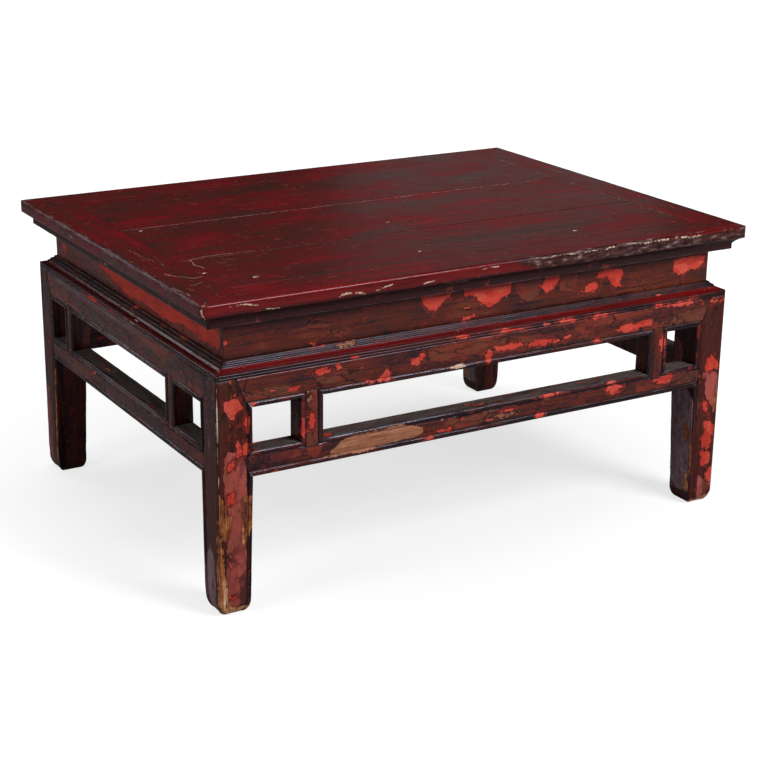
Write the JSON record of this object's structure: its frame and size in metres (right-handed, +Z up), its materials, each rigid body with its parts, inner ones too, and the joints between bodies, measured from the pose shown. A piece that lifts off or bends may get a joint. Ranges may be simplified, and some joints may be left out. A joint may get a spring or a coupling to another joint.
{
  "type": "kang table",
  "caption": "Low oblong lacquered table: framed board top, recessed waist, stepped moulding, and square legs joined by beaded aprons, rails and short struts.",
  "frame": {"origin": "on the floor, under the middle of the top", "axes": "+X to the right along the length, +Y from front to back, +Z up"},
  "size_m": [0.8, 0.594, 0.394],
  "materials": {
    "top_lacquer": "worn dark red-brown lacquer, satin",
    "base_lacquer": "worn dark red-brown lacquer over vermilion, satin",
    "bare_wood": "planed, unfinished"
  },
  "bodies": {
    "root": {"top_front_rail": "top_lacquer", "top_right_rail": "top_lacquer", "top_back_rail": "top_lacquer", "top_left_rail": "top_lacquer", "top_board_front": "top_lacquer", "top_board_middle": "top_lacquer", "top_board_back": "top_lacquer", "batten_left": "bare_wood", "batten_right": "bare_wood", "waist_front": "base_lacquer", "moulding_front": "base_lacquer", "apron_front": "base_lacquer", "rail_front": "base_lacquer", "strut_front_a": "base_lacquer", "strut_front_b": "base_lacquer", "waist_right": "base_lacquer", "moulding_right": "base_lacquer", "apron_right": "base_lacquer", "rail_right": "base_lacquer", "strut_right_a": "base_lacquer", "strut_right_b": "base_lacquer", "waist_back": "base_lacquer", "moulding_back": "base_lacquer", "apron_back": "base_lacquer", "rail_back": "base_lacquer", "strut_back_a": "base_lacquer", "strut_back_b": "base_lacquer", "waist_left": "base_lacquer", "moulding_left": "base_lacquer", "apron_left": "base_lacquer", "rail_left": "base_lacquer", "strut_left_a": "base_lacquer", "strut_left_b": "base_lacquer", "leg_front_left": "base_lacquer", "leg_front_right": "base_lacquer", "leg_back_right": "base_lacquer", "leg_back_left": "base_lacquer"}
  },
  "joints": []
}
